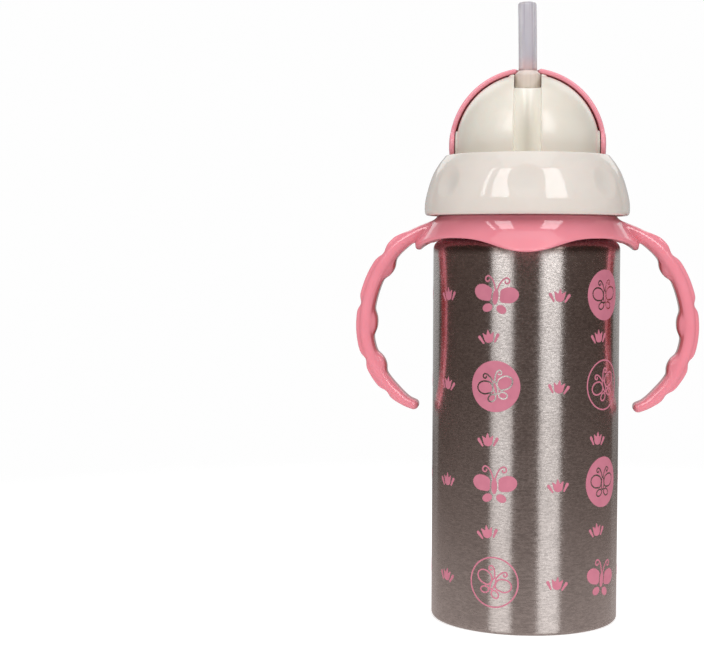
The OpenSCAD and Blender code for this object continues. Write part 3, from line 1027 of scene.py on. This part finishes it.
# --------------------------------------------------------------------------
# stage: pale floor, reflection cards, soft boxes and a fill world
# --------------------------------------------------------------------------
def flat_mat(name, color, strength=None, rough=0.6):
    m = Nodes(name)
    if strength is None:
        haze = m.noise(m.scaled(1, 1, 1), 4.0, 2.0, 0.5)
        m.link(m.ramp(haze, [(0.3, [c * 0.985 for c in color]), (0.7, color)]), m.bsdf.inputs["Base Color"])
        m.bsdf.inputs["Roughness"].default_value = rough
    else:
        e = m.node("ShaderNodeEmission")
        e.inputs["Color"].default_value = tuple(color) + (1,)
        e.inputs["Strength"].default_value = strength
        out = m.nt.nodes["Material Output"]
        m.link(e.outputs[0], out.inputs["Surface"])
    return m.mat


def rays(ob, camera=True, diffuse=True, glossy=True, transmission=True, shadow=True):
    ob.visible_camera, ob.visible_diffuse, ob.visible_glossy = camera, diffuse, glossy
    ob.visible_transmission, ob.visible_shadow = transmission, shadow


floor = new_object("floor", [(-6, -6, -0.00005), (6, -6, -0.00005), (6, 6, -0.00005), (-6, 6, -0.00005)],
                   [(0, 1, 2, 3)], smooth=False)
floor_mat = flat_mat("floor_pale", (0.93, 0.93, 0.93))
fnt = floor_mat.node_tree
fcoord = fnt.nodes.new("ShaderNodeTexCoord")
flen = fnt.nodes.new("ShaderNodeVectorMath")
flen.operation = "LENGTH"
fnt.links.new(fcoord.outputs["Object"], flen.inputs[0])
fmap = fnt.nodes.new("ShaderNodeMapRange")
fmap.interpolation_type = "SMOOTHSTEP"
fmap.inputs["From Min"].default_value, fmap.inputs["From Max"].default_value = 0.10, 0.42
fmap.inputs["To Min"].default_value, fmap.inputs["To Max"].default_value = 0.0, 1.0
fnt.links.new(flen.outputs["Value"], fmap.inputs["Value"])
fclear = fnt.nodes.new("ShaderNodeBsdfTransparent")
fmix = fnt.nodes.new("ShaderNodeMixShader")
fnt.links.new(fmap.outputs["Result"], fmix.inputs[0])
fnt.links.new(fnt.nodes["Principled BSDF"].outputs[0], fmix.inputs[1])
fnt.links.new(fclear.outputs[0], fmix.inputs[2])
fnt.links.new(fmix.outputs[0], fnt.nodes["Material Output"].inputs["Surface"])
floor_mat.node_tree.nodes["Principled BSDF"].inputs["Emission Color"].default_value = (1, 1, 1, 1)
floor_mat.node_tree.nodes["Principled BSDF"].inputs["Emission Strength"].default_value = 0.50
paint(floor, floor_mat)
rays(floor, glossy=False, shadow=False)

# the part of the floor near the cup, as its steel sees it
n = 72
rings = [0.03, 0.06, 0.10, 0.15, 0.20, 0.26, 0.33]
dv = [(r * math.cos(2 * math.pi * k / n), r * math.sin(2 * math.pi * k / n), -0.00003) for r in rings for k in range(n)]
df = [(i * n + k, i * n + (k + 1) % n, (i + 1) * n + (k + 1) % n, (i + 1) * n + k)
      for i in range(len(rings) - 1) for k in range(n)]
disc = new_object("floor_glow", dv, df, smooth=False)
gm = Nodes("floor_glow")
length = gm.node("ShaderNodeVectorMath", operation="LENGTH")
gm.link(gm.coord, length.inputs[0])
em = gm.node("ShaderNodeEmission")
gm.link(gm.ramp(gm.remap(length.outputs["Value"], 0, 1, 0.05, 0.33), [(0.0, (0.36, 0.32, 0.31)), (1.0, (0.08, 0.062, 0.056))]),
        em.inputs["Color"])
both = gm.node("ShaderNodeAddShader")
gm.link(em.outputs[0], both.inputs[0])
gm.link(gm.node("ShaderNodeBsdfTransparent").outputs[0], both.inputs[1])
gm.link(both.outputs[0], gm.nt.nodes["Material Output"].inputs["Surface"])
paint(disc, gm.mat)
rays(disc, camera=False, diffuse=False, glossy=True, transmission=False, shadow=False)


def screen(name, a0, a1, r, z0, z1, color, strength, n=40):
    """A curved card standing round the cup, seen only in reflections. Angles from +Y."""
    v, f = [], []
    for k in range(n + 1):
        a = math.radians(a0 + (a1 - a0) * k / n)
        for z in (z0, z1):
            v.append((r * math.sin(a), r * math.cos(a), z))
    for k in range(n):
        f.append((2 * k, 2 * k + 2, 2 * k + 3, 2 * k + 1))
    o = new_object(name, v, f, smooth=False)
    paint(o, flat_mat(name, color, strength))
    rays(o, camera=False, diffuse=False, glossy=True, transmission=False, shadow=False)
    return o


screen("back_screen", -46, 46, 1.6, -0.10, 2.2, (1.0, 0.99, 0.98), 0.42)


def softbox(name, az, elev, dist, w, h, power, target=(0, 0, 0.13), color=(1, 1, 1)):
    """Rectangular area light. Azimuth from the camera's side of the cup, + to the right."""
    d = bpy.data.lights.new(name, "AREA")
    d.shape = "RECTANGLE"
    d.size, d.size_y = w, h
    d.energy = power
    d.color = color
    o = bpy.data.objects.new(name, d)
    scene.collection.objects.link(o)
    a, e = math.radians(az), math.radians(elev)
    t = Vector(target)
    o.location = t + Vector((math.sin(a) * math.cos(e), -math.cos(a) * math.cos(e), math.sin(e))) * dist
    o.rotation_euler = (t - o.location).to_track_quat("-Z", "Y").to_euler()
    o.visible_camera = False
    return o


L = 5.0                      # radiance of the two front boxes


def box_power(w, h, radiance):
    return radiance * math.pi * w * h


def panel(name, a0, a1, e0, e1, radiance, dist=0.95):
    """Upright soft box between two azimuths and two elevations, seen from the cup."""
    mid, half = (a0 + a1) / 2, (a1 - a0) / 2
    w = 2 * dist * math.tan(math.radians(half))
    z0, z1 = (0.14 + dist * math.tan(math.radians(e)) for e in (e0, e1))
    o = softbox(name, mid, 0, dist, w, z1 - z0, box_power(w, z1 - z0, radiance), target=(0, 0, (z0 + z1) / 2))
    return o


for name, a0, a1, e0, e1 in (("box_left_b", -41.5, -20.0, 21, 54), ("box_right", 22.0, 47.0, 19, 53)):
    panel(name, a0, a1, e0, e1, L)
trim = bpy.data.collections.new("trim_receivers")
scene.collection.children.link(trim)
for o in (moulding, ring, dome, hood, straw):
    trim.objects.link(o)
panel("box_left_a", -53.5, -49.5, 21, 53, L).light_linking.receiver_collection = trim
steel_only = bpy.data.collections.new("steel_receivers")
scene.collection.children.link(steel_only)
steel_only.objects.link(steel)
for name, a0, a1 in (("stripe_left", -41.5, -15.3), ("stripe_right", 17.2, 43.5)):
    mid, half = (a0 + a1) / 2, (a1 - a0) / 2
    w = 2 * math.tan(math.radians(half)) * 1.15
    o = softbox(name, mid, 0, 1.15, w, 1.6, box_power(w, 1.6, 0.58), target=(0, 0, -0.10))
    o.light_linking.receiver_collection = steel_only
softbox("top_box", 0, 84, 1.5, 1.2, 1.2, box_power(1.2, 1.2, 1.0))
softbox("rear_left", 205, 30, 1.4, 0.5, 0.8, box_power(0.5, 0.8, 0.75))
softbox("rear_right", 155, 30, 1.4, 0.5, 0.8, box_power(0.5, 0.8, 0.75))

world = bpy.data.worlds.new("world")
scene.world = world
world.use_nodes = True
wn = world.node_tree
for nd in list(wn.nodes):
    wn.nodes.remove(nd)
out = wn.nodes.new("ShaderNodeOutputWorld")
path = wn.nodes.new("ShaderNodeLightPath")


def background(color, strength):
    b = wn.nodes.new("ShaderNodeBackground")
    b.inputs["Color"].default_value = tuple(color) + (1,)
    b.inputs["Strength"].default_value = strength
    return b.outputs[0]


def wmix(fac, a, b):
    m = wn.nodes.new("ShaderNodeMixShader")
    wn.links.new(fac, m.inputs[0])
    wn.links.new(a, m.inputs[1])
    wn.links.new(b, m.inputs[2])
    return m.outputs[0]


fill = background((1.0, 0.985, 0.97), 0.40)
seen = background((1.0, 1.0, 1.0), 0.99)
mirror = background((0.080, 0.056, 0.048), 1.0)
s = wmix(path.outputs["Is Glossy Ray"], fill, mirror)
s = wmix(path.outputs["Is Transmission Ray"], s, background((1, 1, 1), 0.80))
s = wmix(path.outputs["Is Camera Ray"], s, seen)
wn.links.new(s, out.inputs["Surface"])

bpy.context.view_layer.update()
